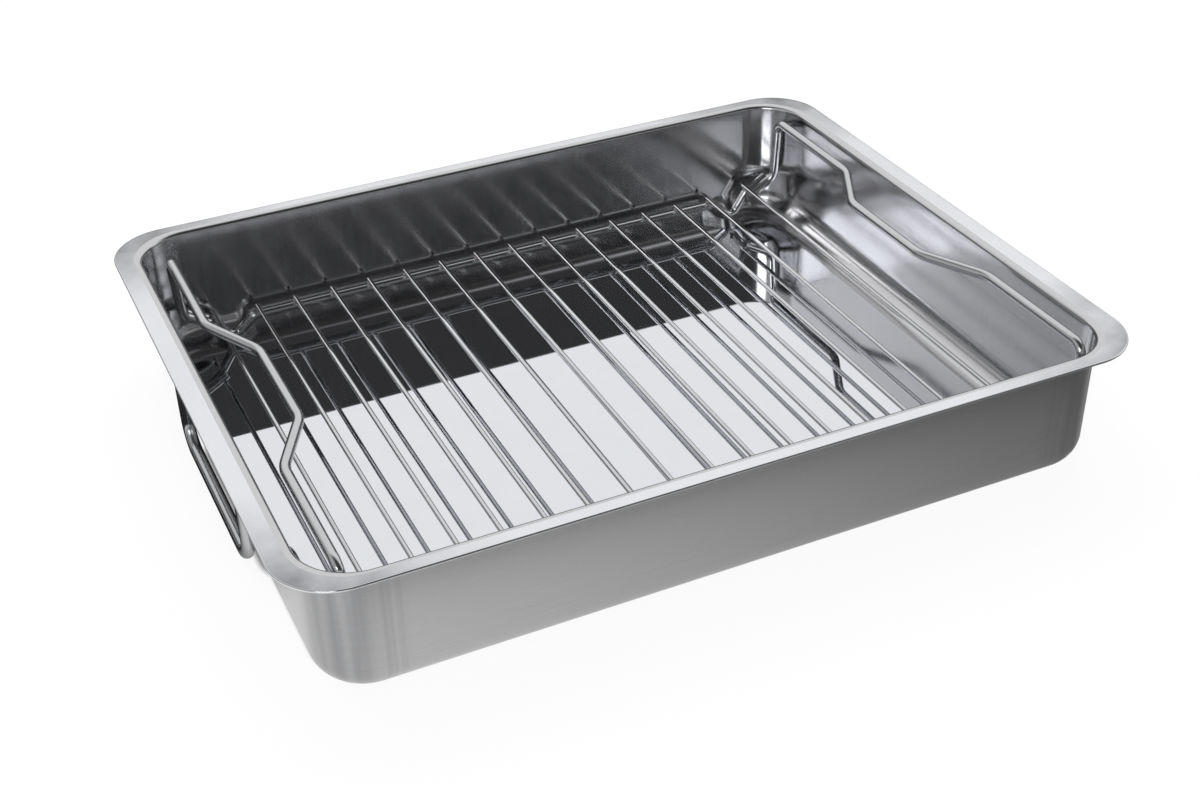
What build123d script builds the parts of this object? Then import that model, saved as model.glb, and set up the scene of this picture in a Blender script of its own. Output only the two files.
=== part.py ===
from build123d import *
from math import cos, radians, sin, sqrt, tan
import os

# Stainless steel roasting pan with two hanging bails, and the welded wire rack that lies in it.
# Millimetres. The origin is the middle of the pan's underside. +X runs along the pan, +Z is up,
# and the front long wall faces -Y. Wire routes are given by their centre lines.

# Pan
pan_length = 400.0               # over the flange, along X
pan_width = 320.0                # over the flange, along Y
pan_height = 66.0                # underside to the top of the flange
sheet = 0.6                      # thickness of the drawn sheet
end_flange = 12.0                # flange edge to wall, at the two ends
side_flange = 8.4                # flange edge to wall, along the two long sides
flange_corner_radius = 28.0      # plan radius of the flange edge
wall_corner_radius = 25.5        # plan radius of the wall's outer face, at the flange
wall_draft = 1.0                 # degrees that the walls lean outward
floor_edge_radius = 15.0         # outer radius between floor and wall
flange_bend_radius = 1.6         # outer radius between wall and flange
hem_width = 4.5                  # edge of the sheet, folded flat under the flange
hem_edge_share = 0.45            # of the folded thickness, rounding of the fold

# Bails on the two end walls
bail_wire = 6.0                  # diameter
bail_half_span = 52.8            # pan's middle to a leg
bail_grip_height = 7.6           # grip over the pan's underside, hanging
bail_grip_radius = 12.0          # between a leg and the grip
bail_foot_radius = 7.0           # between a leg and its foot
bail_foot_past_clip = 1.0        # foot's cut end past its clip
bail_running_gap = 0.08          # round a foot, in its clip

# Saddle clips that hold the bails' feet
clip_sheet = 1.0
clip_width = 11.0                # along the foot
clip_wing = 5.0                  # flat above and below the channel
clip_side_gap = 0.6              # bail's bend to the clip
clip_flange_gap = 0.7            # clip to the bend under the flange
clip_root_radius = 0.6           # outer corner between channel and wing
clip_corner_radius = 1.5         # wing's corners
weld_spot = 2.6                  # diameter of a spot weld's dimple
weld_spot_depth = 0.25
weld_gap = 0.05                  # between pieces that are welded where they touch

# Rack frame: two carriers along X with a foot near each end, and two handles along Y
frame_wire = 5.0                 # diameter
rack_place_x = 3.0               # the rack lies this far right of the pan's middle
seat_gap = 0.3                   # between the rack's feet and the pan
carrier_wall_gap = 7.4           # carrier to the long wall's inner face, at the floor
carrier_rise = 8.3               # level stretch over the lowest point of a foot
slope_rise = 10.9                # start of the end slope over the lowest point of a foot
foot_inner_slope = 39.0          # degrees, from the level stretch down to the foot
foot_outer_slope = 56.0          # degrees, from the foot up to the end slope
end_slope = 30.0                 # degrees, from there out to the cut end
carrier_end_run = 13.6           # end slope's start to the cut end, along X
carrier_bend_radius = 5.0

# Rack handles
handle_wall_gap = 11.4           # top bar's outer parts to the end wall's inner face at the flange
handle_rise = 53.8               # top bar over the lowest point of a foot
handle_leg_lean = 2.0            # a leg's top stands this far outside its bottom
handle_slope_run = 15.8          # end slope's start to the leg, along X
handle_tail_run = 1.8            # back from the slope's start to the handle's cut end, along X
handle_slope_radius = 9.0        # between the end slope and a leg
handle_corner_radius = 6.5       # between a leg and the top bar
handle_step = 16.8               # the top bar's middle stands this far inside its outer parts
handle_step_outer = 64.5         # rack's middle to a step's outer corner
handle_step_inner = 31.4         # rack's middle to a step's inner corner
handle_step_radius = 20.0

# Cross wires welded on top
cross_wire = 2.5                 # diameter
cross_wire_count = 14            # evenly spaced on the level stretch
cross_wire_inset = 2.2           # outermost of them to where the foot leaves the level stretch
cross_wire_overhang = 1.8        # past the carriers' centre lines
end_wire_along = 1.6             # end wires, along the end slope from its start
wire_end_chamfer = 0.3           # on every cut wire end

# Sizes of the pan that follow
wall_run = tan(radians(wall_draft))
wall_inset = sheet / cos(radians(wall_draft))
mouth_length = pan_length - 2 * end_flange
mouth_width = pan_width - 2 * side_flange
hem_edge_radius = hem_edge_share * 2 * sheet
inner_edge_radius = floor_edge_radius - sheet

# The bails' pivot, close under the flange
channel_radius = bail_wire / 2 + bail_running_gap
clip_half_height = channel_radius + clip_sheet + clip_wing
pivot_height = pan_height - sheet - flange_bend_radius - clip_flange_gap - clip_half_height
pivot_x = mouth_length / 2 - (pan_height - pivot_height) * wall_run + channel_radius / cos(radians(wall_draft))
clip_near_y = bail_half_span + bail_foot_radius + clip_side_gap
bail_foot_y = clip_near_y + clip_width + bail_foot_past_clip

# The rack's feet rest on the round edge of the pan's floor
inner_base_half_width = mouth_width / 2 - pan_height * wall_run - sheet
carrier_y = inner_base_half_width - carrier_wall_gap
foot_in_edge = max(0, inner_edge_radius - carrier_wall_gap)
foot_play_radius = inner_edge_radius - frame_wire / 2 - seat_gap
foot_low_z = sheet + inner_edge_radius - sqrt(foot_play_radius**2 - foot_in_edge**2)
carrier_z = foot_low_z + carrier_rise
slope_z = foot_low_z + slope_rise

# The carriers' route, worked in from the handles
inner_slope = radians(foot_inner_slope)
outer_slope = radians(foot_outer_slope)
foot_corner_share = cos((outer_slope - inner_slope) / 2) / cos((outer_slope + inner_slope) / 2) - 1
foot_corner_z = foot_low_z - foot_corner_share * carrier_bend_radius
handle_x = mouth_length / 2 - sheet - handle_wall_gap
leg_x = handle_x - handle_leg_lean
slope_x = leg_x - handle_slope_run
foot_corner_x = slope_x - (slope_z - foot_corner_z) / tan(outer_slope)
foot_start_x = foot_corner_x - (carrier_z - foot_corner_z) / tan(inner_slope)
slope_climb = tan(radians(end_slope))

# Handles stand just inside the carriers, cross wires lie on both
handle_y = carrier_y - frame_wire - weld_gap
handle_z = foot_low_z + handle_rise
wire_stack = (frame_wire + cross_wire) / 2 + weld_gap
cross_wire_y = carrier_y + cross_wire_overhang
cross_wire_z = carrier_z + wire_stack
cross_wire_span = foot_start_x - cross_wire_inset
cross_wire_pitch = 2 * cross_wire_span / (cross_wire_count - 1)
end_wire_x = slope_x + end_wire_along * cos(radians(end_slope)) - wire_stack * sin(radians(end_slope))
end_wire_z = slope_z + end_wire_along * sin(radians(end_slope)) + wire_stack * cos(radians(end_slope))


def drawn_tub(inset, underside, edge_radius):
    """Solid tub up to the flange's top, its wall inset from the pan's outer wall."""
    shrink = inset + (pan_height - underside) * wall_run
    with BuildPart() as tub:
        with BuildSketch(Plane.XY.offset(underside)):
            RectangleRounded(mouth_length - 2 * shrink, mouth_width - 2 * shrink, wall_corner_radius - shrink)
        extrude(amount=pan_height - underside, taper=-wall_draft)
        fillet(tub.edges().group_by(Axis.Z)[0], radius=edge_radius)
    return tub.part


def bent_wire(points, radii, diameter):
    """Round wire of straight runs and tangent arcs, with eased cut ends."""
    with BuildPart() as wire:
        with BuildLine() as route:
            FilletPolyline(*points, radius=radii)
        with BuildSketch(Plane(origin=route.line @ 0, z_dir=route.line % 0)):
            Circle(diameter / 2)
        sweep(path=route.line)
        chamfer(wire.faces().filter_by(GeomType.PLANE).edges(), length=wire_end_chamfer)
    return wire.part


def straight_wire(x, z, half_length, diameter):
    """Round wire along Y with eased cut ends."""
    with BuildPart() as wire:
        with BuildSketch(Plane(origin=(x, 0, z), z_dir=(0, 1, 0))):
            Circle(diameter / 2)
        extrude(amount=half_length, both=True)
        chamfer(wire.faces().filter_by(GeomType.PLANE).edges(), length=wire_end_chamfer)
    return wire.part


def saddle_clip(side, start_y):
    """Strap with a round channel for the bail's foot and a spot-welded wing above and below."""
    outward = (side * cos(radians(wall_draft)), 0, -sin(radians(wall_draft)))
    profile = Plane(origin=(side * pivot_x, start_y, pivot_height), x_dir=outward, z_dir=(0, 1, 0))
    back = weld_gap - channel_radius
    hull_radius = channel_radius + clip_sheet
    weld_face = Plane(
        origin=profile.from_local_coords((back + clip_sheet, 0, clip_width / 2)), x_dir=(0, 1, 0), z_dir=outward
    )
    weld_v = clip_half_height - clip_wing / 2
    with BuildPart() as clip:
        with BuildSketch(profile):
            with Locations((back, 0)):
                Rectangle(-back, 2 * hull_radius, align=(Align.MIN, Align.CENTER))
                Rectangle(clip_sheet, 2 * clip_half_height, align=(Align.MIN, Align.CENTER))
            Circle(hull_radius)
            with Locations((back, 0)):
                Rectangle(hull_radius, 2 * hull_radius, align=(Align.MAX, Align.CENTER), mode=Mode.SUBTRACT)
                Rectangle(-back, 2 * channel_radius, align=(Align.MIN, Align.CENTER), mode=Mode.SUBTRACT)
            Circle(channel_radius, mode=Mode.SUBTRACT)
        extrude(amount=clip_width)
        lengthwise = clip.edges().filter_by(Axis.Y)
        roots = lengthwise.filter_by(lambda edge: stands_at(edge, profile, back + clip_sheet, hull_radius))
        lips = lengthwise.filter_by(lambda edge: stands_at(edge, profile, back, channel_radius))
        fillet(roots, radius=clip_root_radius)
        fillet(lips, radius=clip_root_radius + clip_sheet)
        through = clip.edges().filter_by(Axis((0, 0, 0), outward))
        corners = through.filter_by(lambda edge: stands_at(edge, profile, back + clip_sheet / 2, clip_half_height))
        fillet(corners, radius=clip_corner_radius)
        with BuildSketch(weld_face):
            with Locations((0, weld_v), (0, -weld_v)):
                Circle(weld_spot / 2)
        extrude(amount=-weld_spot_depth, mode=Mode.SUBTRACT)
    return clip.part


def stands_at(edge, profile, u, v):
    """Whether a clip's edge is centred at u, and at v or -v, in the clip's profile."""
    place = profile.to_local_coords(edge.center())
    return abs(place.X - u) < weld_gap / 2 and abs(abs(place.Y) - v) < weld_gap / 2


def rack_route(points):
    """Points of the rack's own frame, moved to where the rack lies."""
    return [(x + rack_place_x, y, z) for x, y, z in points]


os.makedirs("parts", exist_ok=True)

# Pan body: drawn tub, flange with its bend, and the hem folded under the flange's edge
with BuildPart() as pan_body:
    add(drawn_tub(0, 0, floor_edge_radius))
    with BuildSketch(Plane.XY.offset(pan_height - sheet)):
        RectangleRounded(pan_length, pan_width, flange_corner_radius)
    extrude(amount=sheet)
    flange_underside = pan_body.faces().filter_by(Axis.Z).group_by(Axis.Z)[1]
    fillet(flange_underside[0].inner_wires()[0].edges(), radius=flange_bend_radius)
    add(drawn_tub(wall_inset, sheet, inner_edge_radius), mode=Mode.SUBTRACT)
    flange_top = pan_body.faces().sort_by(Axis.Z)[-1]
    fillet(flange_top.inner_wires()[0].edges(), radius=flange_bend_radius + sheet)
    with BuildSketch(Plane.XY.offset(pan_height - 2 * sheet)):
        RectangleRounded(pan_length, pan_width, flange_corner_radius)
        offset(amount=-hem_width, mode=Mode.SUBTRACT)
    extrude(amount=sheet)
    level_faces = pan_body.faces().filter_by(Axis.Z).group_by(Axis.Z)
    fold_edges = level_faces[-1][0].outer_wire().edges() + level_faces[-3][0].outer_wire().edges()
    fillet(fold_edges, radius=hem_edge_radius)
pan_body.part.label = "pan_body"
export_step(pan_body.part, "parts/pan_body.step")

# Bails: hanging wire loops whose feet turn in the clips
for side, side_name in ((-1, "left"), (1, "right")):
    x = side * pivot_x
    half_route = [
        (x, bail_foot_y, pivot_height),
        (x, bail_half_span, pivot_height),
        (x, bail_half_span, bail_grip_height),
    ]
    route = half_route + [(x, -y, z) for x, y, z in reversed(half_route)]
    bail = bent_wire(route, [bail_foot_radius, bail_grip_radius, bail_grip_radius, bail_foot_radius], bail_wire)
    bail.label = f"bail_handle_{side_name}"
    export_step(bail, f"parts/{bail.label}.step")
    for start_y, end_name in ((-clip_near_y - clip_width, "front"), (clip_near_y, "back")):
        clip = saddle_clip(side, start_y)
        clip.label = f"bail_clip_{side_name}_{end_name}"
        export_step(clip, f"parts/{clip.label}.step")

# Carriers: level stretch, V-shaped feet, and end slopes that the handles are welded along
half_route = [
    (foot_start_x, carrier_z),
    (foot_corner_x, foot_corner_z),
    (slope_x, slope_z),
    (slope_x + carrier_end_run, slope_z + carrier_end_run * slope_climb),
]
for y, end_name in ((-carrier_y, "front"), (carrier_y, "back")):
    route = [(-x, y, z) for x, z in reversed(half_route)] + [(x, y, z) for x, z in half_route]
    carrier = bent_wire(rack_route(route), carrier_bend_radius, frame_wire)
    carrier.label = f"carrier_wire_{end_name}"
    export_step(carrier, f"parts/{carrier.label}.step")

# Handles: up from the end slopes, round the top corners, and stepped inward at the middle
half_route = [
    (slope_x - handle_tail_run, handle_y, slope_z - handle_tail_run * slope_climb),
    (leg_x, handle_y, slope_z + handle_slope_run * slope_climb),
    (handle_x, handle_y, handle_z),
    (handle_x, handle_step_outer, handle_z),
    (handle_x - handle_step, handle_step_inner, handle_z),
]
half_radii = [handle_slope_radius, handle_corner_radius, handle_step_radius, handle_step_radius]
for side, side_name in ((-1, "left"), (1, "right")):
    route = [(side * x, y, z) for x, y, z in half_route]
    route += [(x, -y, z) for x, y, z in reversed(route)]
    handle = bent_wire(rack_route(route), half_radii + half_radii[::-1], frame_wire)
    handle.label = f"rack_handle_{side_name}"
    export_step(handle, f"parts/{handle.label}.step")

# Cross wires, left to right: one on each end slope, the others evenly spaced between
even_places = [(cross_wire_pitch * i - cross_wire_span, cross_wire_z) for i in range(cross_wire_count)]
places = [(-end_wire_x, end_wire_z)] + even_places + [(end_wire_x, end_wire_z)]
for number, (x, z) in enumerate(places, start=1):
    rod = straight_wire(x + rack_place_x, z, cross_wire_y, cross_wire)
    rod.label = f"cross_wire_{number:02d}"
    export_step(rod, f"parts/{rod.label}.step")
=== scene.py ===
# %% [markdown]
# # A stainless steel roasting pan with its rack
#
# The pan is one deep-drawn sheet of stainless steel with a flat flange round its mouth. Two wire
# bails hang on its end walls. A rack of welded wires lies in it and lifts out by two tall handles.
# Everything is bright metal, so the lesson is about two things: clean, smooth surfaces made by
# rules, and what those surfaces have round them to reflect.
#
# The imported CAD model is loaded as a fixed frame. It gives each piece its place and the body that
# it moves with.

# %% Load the frame
import math

import bmesh
import bpy
from mathutils import Matrix, Vector


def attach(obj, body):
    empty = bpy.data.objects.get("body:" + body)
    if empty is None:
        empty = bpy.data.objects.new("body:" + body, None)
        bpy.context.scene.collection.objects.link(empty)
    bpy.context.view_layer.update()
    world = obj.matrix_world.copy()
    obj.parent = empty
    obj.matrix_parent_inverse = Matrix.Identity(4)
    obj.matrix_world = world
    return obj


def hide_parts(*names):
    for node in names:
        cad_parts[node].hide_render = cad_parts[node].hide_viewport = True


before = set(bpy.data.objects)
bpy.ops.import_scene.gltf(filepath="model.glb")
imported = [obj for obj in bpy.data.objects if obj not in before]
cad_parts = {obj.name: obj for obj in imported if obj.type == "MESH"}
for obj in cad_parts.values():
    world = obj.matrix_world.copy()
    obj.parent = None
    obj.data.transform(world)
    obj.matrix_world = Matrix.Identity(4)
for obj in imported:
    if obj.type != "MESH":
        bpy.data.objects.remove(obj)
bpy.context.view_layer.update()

# %% [markdown]
# ## Four helpers
#
# The sizes of the object are in millimetres, as in a workshop drawing, and `MM` turns them into
# Blender's metres. The studio round it is given in metres. Colours are written as a paint chart
# gives them, in sRGB hex, and turned to the linear values that the renderer works with. Every node
# of every tree is added by one function: it sets the node's own settings, and each input gets
# either a value or another node's output.
#
# A mix node has a set of sockets for each kind of value, all under the same names, and so has a
# random value node. Those sockets are picked by number, and the numbers get names here.

# %% Helpers
MM = 0.001
MIX_FROM, MIX_TO, MIXED = 6, 7, 2
RANDOM_LEAST, RANDOM_MOST, RANDOM_DRAWN = 2, 3, 1


def linear(hex_colour):
    """Linear RGBA of an sRGB hex colour."""
    channels = [int(hex_colour[i : i + 2], 16) / 255 for i in (1, 3, 5)]
    return [c / 12.92 if c <= 0.04045 else ((c + 0.055) / 1.055) ** 2.4 for c in channels] + [1.0]


def add_node(tree, kind, inputs=None, **settings):
    """Adds a node, sets its settings, and gives each input in the dict a value or a link."""
    node = tree.nodes.new(kind)
    for name, value in settings.items():
        setattr(node, name, value)
    for key, value in (inputs or {}).items():
        if isinstance(value, bpy.types.NodeSocket):
            tree.links.new(value, node.inputs[key])
        else:
            node.inputs[key].default_value = value
    return node


def empty_tree(owner):
    """The node tree of a new material or world, with nothing in it yet."""
    owner.use_nodes = True
    owner.node_tree.nodes.clear()
    return owner.node_tree


def show(name, mesh):
    """Links a mesh to the scene as an object at the origin."""
    piece = bpy.data.objects.new(name, mesh)
    bpy.context.scene.collection.objects.link(piece)
    return piece


# %% [markdown]
# ## The camera
#
# A product photographer stands in front of the pan, a little to its left, and looks down at about
# 33 degrees. The direction, the distance and the lens were found by fitting the pan's edges, and
# the camera has a slight roll. The camera's own three axes are worked out from these angles and
# become the columns of its rotation.

# %% Camera
CAMERA_PLACE = Vector((-296.0, -659.9, 479.7)) * MM
CAMERA_ANGLES = -24.21, 33.36, -1.59
SENSOR_WIDTH, FOCAL_LENGTH = 36.0, 52.51
NEAREST, FARTHEST = 0.02, 30.0

azimuth, elevation, roll = (math.radians(angle) for angle in CAMERA_ANGLES)
back = Vector(
    (
        math.sin(azimuth) * math.cos(elevation),
        -math.cos(azimuth) * math.cos(elevation),
        math.sin(elevation),
    )
)
level_right = Vector((math.cos(azimuth), math.sin(azimuth), 0))
level_up = back.cross(level_right)
right = level_right * math.cos(roll) + level_up * math.sin(roll)
up = level_up * math.cos(roll) - level_right * math.sin(roll)

camera = bpy.data.objects.new("camera", bpy.data.cameras.new("camera"))
bpy.context.scene.collection.objects.link(camera)
bpy.context.scene.camera = camera
camera.data.sensor_width = SENSOR_WIDTH
camera.data.lens = FOCAL_LENGTH
camera.data.clip_start, camera.data.clip_end = NEAREST, FARTHEST
camera.location = CAMERA_PLACE
camera.rotation_mode = "QUATERNION"
camera.rotation_quaternion = Matrix((right, up, back)).transposed().to_quaternion()
print("camera stands", round(CAMERA_PLACE.length, 3), "m from the pan's middle")

# %% [markdown]
# ## Steel
#
# Stainless steel is one metal with many skins. The mill rolls the sheet, a press draws it, and
# belts and wheels brush or polish it. What the eye tells apart is only the roughness, and the
# direction of the fine scratches: across them a reflection smears, along them it stays sharp. So
# all the steels here come from one function. It takes two colours, a roughness from the smoothest
# to the roughest streak, and a streak's size. Some skins have more: relief gives the scratches a
# depth, patches are the cloudy marks of handling, the flange's corners get painted shade, a darker
# colour in cloudy patches, and the press leaves upright flutes at the outer corners.
#
# The scratches lie along the surface, so they're drawn on a UV map whose unit is a metre, with U
# round the pan or along a wire and V across. Real scratches are 0.02 to 0.1 mm wide, a fifth of a
# pixel at most at this distance. On the sheet and the wires they are drawn 0.5 to 0.9 mm wide,
# which is as fine as the picture can show.

# %% Steel materials

# Nearly all of a noise lies between these two values
NOISE_RANGE = {"From Min": 0.3, "From Max": 0.7}
PATCH_SIZE = 28
# Corners: the areas |x y| in square metres between which a mark grows, and the noise it starts at
# The flange's corner mark is painted shade, a dark grey mixed into its colour
PAINTED_SHADE_CORNER, PAINTED_SHADE_COLOUR = (0.0169, 0.0302, 0.1), "#55565a"
FLUTED_CORNER, FLUTE_COLOUR = (0.0225, 0.0262, 0.3), "#6c6d6f"
FLUTE_SIZE = 3, 300


def streaks(tree, uv, size, **noise):
    """Noise on the UV map whose streaks have a size in mm along U and V."""
    stretch = (1 / (size[0] * MM), 1 / (size[1] * MM), 1)
    scaled = add_node(tree, "ShaderNodeMapping", {"Vector": uv, "Scale": stretch})
    return add_node(
        tree, "ShaderNodeTexNoise", {"Vector": scaled.outputs["Vector"], "Scale": 1.0, **noise}
    ).outputs["Fac"]


def corner_mask(tree, place, marks, start, stop, least_mark):
    """Nought along the pan's sides and up to one at its corners, with the marks' cloudy edges."""
    parts = add_node(tree, "ShaderNodeSeparateXYZ", {"Vector": place}).outputs
    area = add_node(tree, "ShaderNodeMath", {0: parts["X"], 1: parts["Y"]}, operation="MULTIPLY")
    size = add_node(tree, "ShaderNodeMath", {0: area.outputs[0]}, operation="ABSOLUTE").outputs[0]
    near = add_node(
        tree, "ShaderNodeMapRange", {"Value": size, "From Min": start, "From Max": stop}
    ).outputs["Result"]
    cloud = add_node(
        tree, "ShaderNodeMapRange", {"Value": marks, **NOISE_RANGE, "From Min": least_mark}
    ).outputs["Result"]
    return add_node(tree, "ShaderNodeMath", {0: near, 1: cloud}, operation="MULTIPLY").outputs[0]


def tinted(tree, colour, mask, amount, hex_colour):
    """A colour that goes over to another one where the mask is, by an amount up to one."""
    share = add_node(tree, "ShaderNodeMath", {0: mask, 1: amount}, operation="MULTIPLY")
    return add_node(
        tree,
        "ShaderNodeMix",
        {"Factor": share.outputs[0], MIX_FROM: colour, MIX_TO: linear(hex_colour)},
        data_type="RGBA",
    ).outputs[MIXED]


def steel(
    name, dark, light, roughness, streak, relief=0.0, patches=0.0, corner_shade_amount=0.0, flutes=0.0
):
    """Stainless steel. Streak is its size along U and V, relief the scratches' depth, in mm."""
    material = bpy.data.materials.new(name)
    material.use_nodes = True
    tree = material.node_tree
    surface = tree.nodes["Principled BSDF"]
    uv = add_node(tree, "ShaderNodeUVMap", uv_map="surface").outputs["UV"]
    scratches = streaks(tree, uv, streak, Detail=3.0, Roughness=0.6)
    place = add_node(tree, "ShaderNodeTexCoord").outputs["Object"]
    marks = add_node(
        tree, "ShaderNodeTexNoise", {"Vector": place, "Scale": 1 / (PATCH_SIZE * MM), "Detail": 4.0}
    ).outputs["Fac"]

    patchy = add_node(
        tree,
        "ShaderNodeMapRange",
        {"Value": marks, **NOISE_RANGE, "To Min": -patches, "To Max": patches},
    ).outputs["Result"]
    streaky = add_node(
        tree,
        "ShaderNodeMapRange",
        {"Value": scratches, **NOISE_RANGE, "To Min": roughness[0], "To Max": roughness[1]},
    ).outputs["Result"]
    rough = add_node(
        tree, "ShaderNodeMath", {0: streaky, 1: patchy}, operation="ADD", use_clamp=True
    ).outputs[0]

    colour = add_node(
        tree,
        "ShaderNodeMix",
        {"Factor": scratches, MIX_FROM: linear(dark), MIX_TO: linear(light)},
        data_type="RGBA",
    ).outputs[MIXED]
    # Painted shade: the flange's corners go darker, in cloudy patches
    if corner_shade_amount:
        painted_corner_shade = corner_mask(tree, place, marks, *PAINTED_SHADE_CORNER)
        colour = tinted(tree, colour, painted_corner_shade, corner_shade_amount, PAINTED_SHADE_COLOUR)
    if flutes:
        bands = streaks(tree, uv, FLUTE_SIZE, Detail=2.0)
        fluted = corner_mask(tree, place, bands, *FLUTED_CORNER)
        colour = tinted(tree, colour, fluted, flutes, FLUTE_COLOUR)

    tree.links.new(colour, surface.inputs["Base Color"])
    tree.links.new(rough, surface.inputs["Roughness"])
    if relief:
        bump = add_node(
            tree, "ShaderNodeBump", {"Height": scratches, "Distance": relief * MM, "Strength": 1.0}
        )
        tree.links.new(bump.outputs["Normal"], surface.inputs["Normal"])
    surface.inputs["Metallic"].default_value = 1.0
    return material


# Brushed outer wall: a belt runs round the pan, so its lines are long and level. The corners keep
# upright flutes, because the metal is squeezed together there
outer_steel = steel(
    "brushed_drawn_stainless_outside",
    dark="#a9a9aa",
    light="#c0c0c1",
    roughness=(0.26, 0.36),
    streak=(60, 0.5),
    relief=0.003,
    flutes=0.7,
)
# Flange: the mill's satin skin, pressed flat by the tool. Its corners get painted shade, a darker
# colour in cloudy patches
flange_steel = steel(
    "satin_pressed_stainless_flange",
    dark="#dfe1e4",
    light="#ebecef",
    roughness=(0.21, 0.28),
    streak=(12, 0.6),
    patches=0.04,
    corner_shade_amount=0.9,
)
# Hem: rolled under between two wheels, which leave its round face bright
hem_steel = steel(
    "rolled_stainless_hem",
    dark="#d4d5d7",
    light="#e0e1e3",
    roughness=(0.1, 0.16),
    streak=(20, 0.5),
)
# Inner wall and the round edge of the floor: polished with a wheel that went up and down
inner_wall_steel = steel(
    "wheel_polished_stainless_wall",
    dark="#c3c3c5",
    light="#cececf",
    roughness=(0.14, 0.17),
    streak=(0.8, 40),
    patches=0.03,
)
# Floor: mirror polish, with hardly a line
floor_steel = steel(
    "mirror_polished_stainless_floor",
    dark="#dcdee2",
    light="#e2e4e8",
    roughness=(0.02, 0.03),
    streak=(20, 20),
    patches=0.01,
)
# Wires: drawn through a die, so any line runs along them, then tumbled bright
frame_wire_steel = steel(
    "satin_drawn_stainless_wire",
    dark="#bcbdbf",
    light="#cfd0d2",
    roughness=(0.11, 0.19),
    streak=(30, 0.9),
    patches=0.03,
)
cross_wire_steel = steel(
    "bright_drawn_stainless_wire",
    dark="#c2c2c4",
    light="#d8d8da",
    roughness=(0.05, 0.09),
    streak=(20, 0.5),
)
# Bails: thicker rod, bent when it was already bright, so the lines of its drawing stay
bail_steel = steel(
    "bright_bent_stainless_rod",
    dark="#adaeb0",
    light="#c4c5c7",
    roughness=(0.12, 0.2),
    streak=(30, 0.8),
    patches=0.03,
)
# Clips: punched from strip, whose rolling lines stay
clip_steel = steel(
    "pressed_stainless_strip",
    dark="#b4b5b7",
    light="#c8c9cb",
    roughness=(0.22, 0.32),
    streak=(8, 0.5),
    relief=0.002,
)
# Welds: melted for a moment, so they are a little brown, and grainy the same way all round
weld_steel = steel(
    "resistance_welded_stainless_spot",
    dark="#8f8d8a",
    light="#b2b1b0",
    roughness=(0.25, 0.4),
    streak=(1, 1),
    relief=0.003,
)
print(len(bpy.data.materials), "materials")

# %% [markdown]
# ## The pan
#
# A deep-drawn pan is a sheet pushed through a die, so every level cut through it is a rounded
# rectangle. That is the rule that makes the mesh: a list of such outlines, one for each step of
# the wall's profile, joined into bands. It starts in the middle of the underside, goes up the
# outside, out under the flange, round the hem, back over the flange and down the inside to the
# middle of the floor, so the sheet keeps its real thickness all over.
#
# The alternatives were a box with bevels, which can't hold the even 0.6 mm sheet, or the CAD
# model's own triangles, which show as facets where the metal is polished.

# %% Sizes of the pan
PAN_LENGTH, PAN_WIDTH, PAN_HEIGHT = 400.0, 320.0, 66.0
SHEET = 0.6
END_FLANGE, SIDE_FLANGE = 12.0, 8.4
FLANGE_CORNER, WALL_CORNER = 28.0, 25.5
DRAFT = math.radians(1.0)
EDGE_RADIUS = 15.0
BEND_RADIUS = 1.6
HEM_WIDTH, HEM_ROUND = 4.5, 0.54
# One more outline, this far inside the round edge, keeps the shading of the floor flat
SUPPORT = 0.5
CORNER_STEPS, LONG_STEPS, SHORT_STEPS = 24, 24, 18
PAN_CREASE = math.radians(50)

mouth_half = PAN_LENGTH / 2 - END_FLANGE, PAN_WIDTH / 2 - SIDE_FLANGE
edge_inset = (PAN_HEIGHT - EDGE_RADIUS) * math.tan(DRAFT) + EDGE_RADIUS / math.cos(DRAFT)
bend_height = PAN_HEIGHT - SHEET - BEND_RADIUS
bend_inset = (PAN_HEIGHT - bend_height) * math.tan(DRAFT) - BEND_RADIUS / math.cos(DRAFT)
print("floor edge turns", round(edge_inset, 2), "mm inside the mouth")

# %% Outlines


def wall_outline(inset, height):
    """An outline that stands inset mm inside the pan's mouth."""
    return mouth_half[0] - inset, mouth_half[1] - inset, WALL_CORNER - inset, height


def flange_outline(inset, height):
    """An outline that stands inset mm inside the flange's edge."""
    return PAN_LENGTH / 2 - inset, PAN_WIDTH / 2 - inset, FLANGE_CORNER - inset, height


def between(first, last, steps):
    """Evenly stepped outlines from first to last, both left out."""
    return [tuple(a + (b - a) * i / steps for a, b in zip(first, last)) for i in range(1, steps)]


def turned(outline, centre, radius, start, stop, steps):
    """Outlines round an arc. Its angles are in degrees: 0 is into the pan and 90 is up."""
    angles = [math.radians(start + (stop - start) * i / steps) for i in range(steps + 1)]
    inset, height = centre
    return [outline(inset + radius * math.cos(a), height + radius * math.sin(a)) for a in angles]


lean = math.degrees(DRAFT)
edge_centre, bend_centre = (edge_inset, EDGE_RADIUS), (bend_inset, bend_height)
outer_edge = turned(wall_outline, edge_centre, EDGE_RADIUS, 270, 180 + lean, steps=14)
outer_bend = turned(wall_outline, bend_centre, BEND_RADIUS, lean, 90, steps=8)
inner_bend = turned(wall_outline, bend_centre, BEND_RADIUS + SHEET, 90, lean, steps=10)
inner_edge = turned(wall_outline, edge_centre, EDGE_RADIUS - SHEET, 180 + lean, 270, steps=18)
hem_low = HEM_ROUND, PAN_HEIGHT - 2 * SHEET + HEM_ROUND
hem_high = HEM_ROUND, PAN_HEIGHT - HEM_ROUND
hem_under = turned(flange_outline, hem_low, HEM_ROUND, 270, 180, steps=5)
hem_over = turned(flange_outline, hem_high, HEM_ROUND, 180, 90, steps=5)
hem_foot = flange_outline(HEM_WIDTH, PAN_HEIGHT - SHEET)
hem_lip = flange_outline(HEM_WIDTH, PAN_HEIGHT - 2 * SHEET)

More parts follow.
